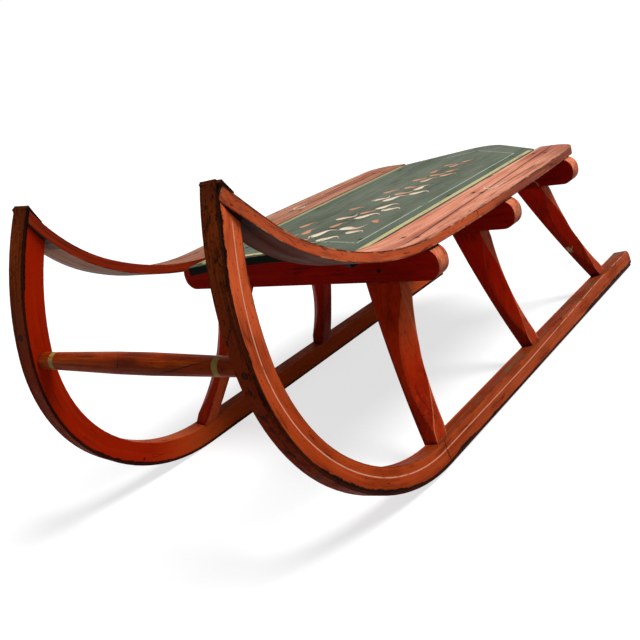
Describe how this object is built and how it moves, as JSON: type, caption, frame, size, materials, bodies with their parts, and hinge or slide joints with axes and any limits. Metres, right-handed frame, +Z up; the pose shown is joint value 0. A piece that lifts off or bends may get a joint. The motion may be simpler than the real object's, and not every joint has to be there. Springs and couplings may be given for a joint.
{
  "type": "wooden snow sled",
  "caption": "Painted wooden snow sled: bowed runners with iron shoes, cross beams on raked legs, centre board between side rails that rise to the tips, turned bar across the bows.",
  "frame": {"origin": "on the ground under the middle of the sled", "axes": "+X forward, the way it is towed; +Y to its left; +Z up"},
  "size_m": [0.88, 0.367, 0.3523],
  "materials": {
    "red_paint": "worn red-orange paint",
    "rail_paint": "faded red paint with stripes",
    "board_paint": "worn green paint with stripes",
    "bar_paint": "worn red paint with cream rings",
    "iron": "rusted iron strap"
  },
  "bodies": {
    "root": {"beam_front": "red_paint", "beam_middle": "red_paint", "beam_rear": "red_paint", "deck_board": "board_paint", "front_bar": "bar_paint", "leg_front_left": "red_paint", "leg_front_right": "red_paint", "leg_middle_left": "red_paint", "leg_middle_right": "red_paint", "leg_rear_left": "red_paint", "leg_rear_right": "red_paint", "rail_left": "rail_paint", "rail_right": "rail_paint", "runner_left": "red_paint", "runner_right": "red_paint", "shoe_left": "iron", "shoe_right": "iron"}
  },
  "joints": []
}
